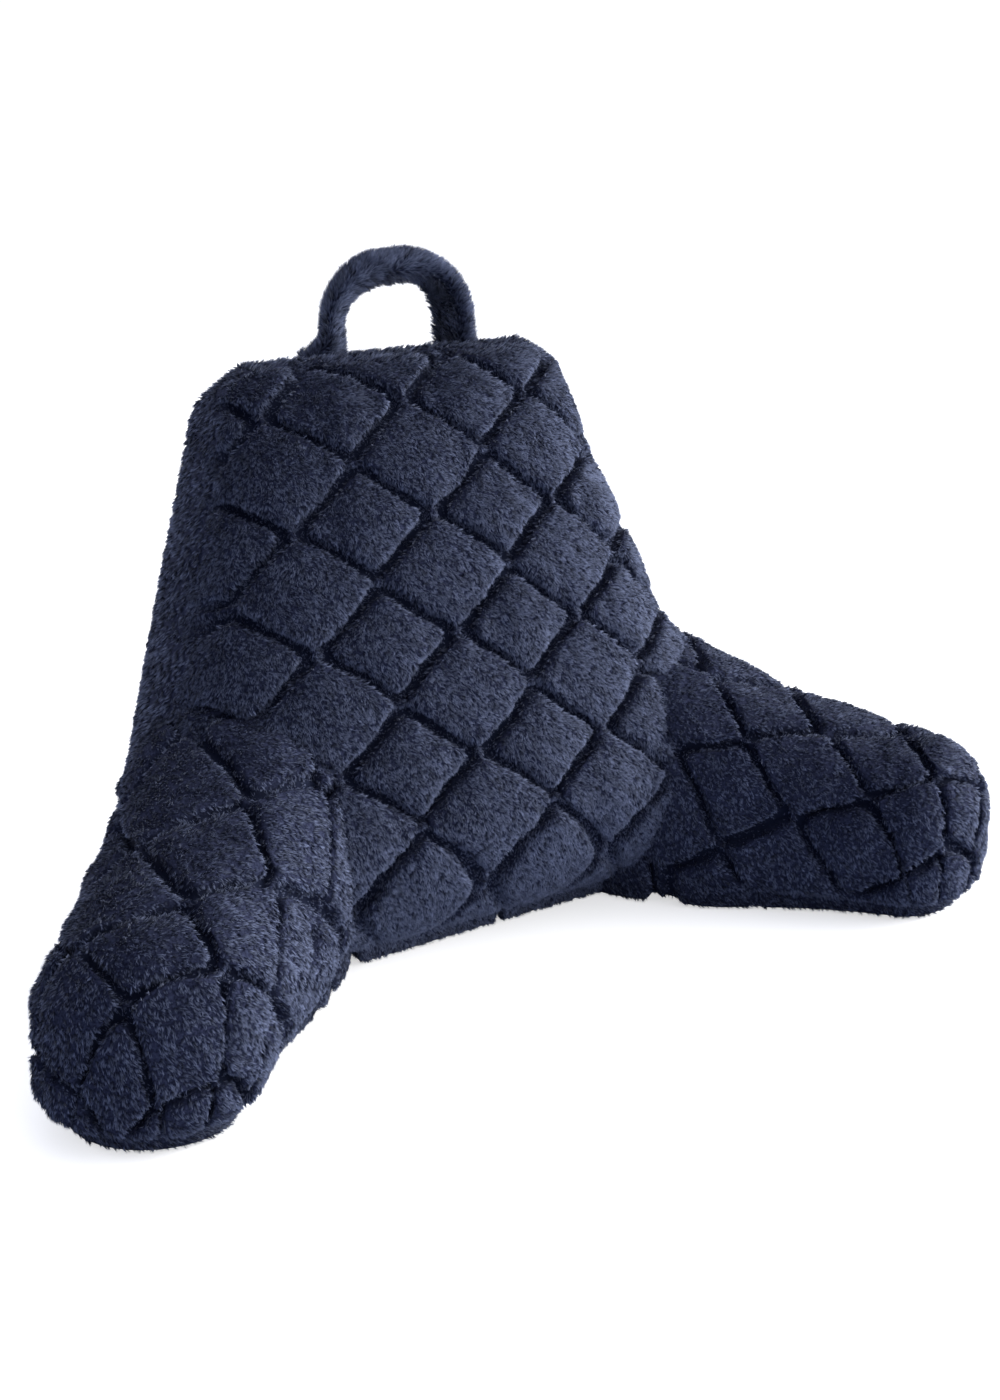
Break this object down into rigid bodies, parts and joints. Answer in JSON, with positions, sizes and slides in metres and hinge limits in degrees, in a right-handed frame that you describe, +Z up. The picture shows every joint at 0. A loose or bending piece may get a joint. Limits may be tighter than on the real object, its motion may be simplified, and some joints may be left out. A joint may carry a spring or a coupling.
{
  "type": "cuddle cushion",
  "caption": "Leaning filled back cushion with two splayed tubular arms, a padded diamond relief and a carrying loop on top.",
  "frame": {"origin": "on the floor, under the middle of the whole cushion's box", "axes": "+Z up, +X along the width from the left arm to the right arm, -Y out of the open front"},
  "size_m": [0.7032, 0.4106, 0.4644],
  "materials": {
    "backrest_pile": "short navy faux-fur pile",
    "arm_left_pile": "short navy faux-fur pile",
    "arm_right_pile": "short navy faux-fur pile",
    "handle_pile": "short navy faux-fur pile"
  },
  "bodies": {
    "root": {"backrest": "backrest_pile", "arm_left": "arm_left_pile", "arm_right": "arm_right_pile", "handle": "handle_pile"}
  },
  "joints": []
}
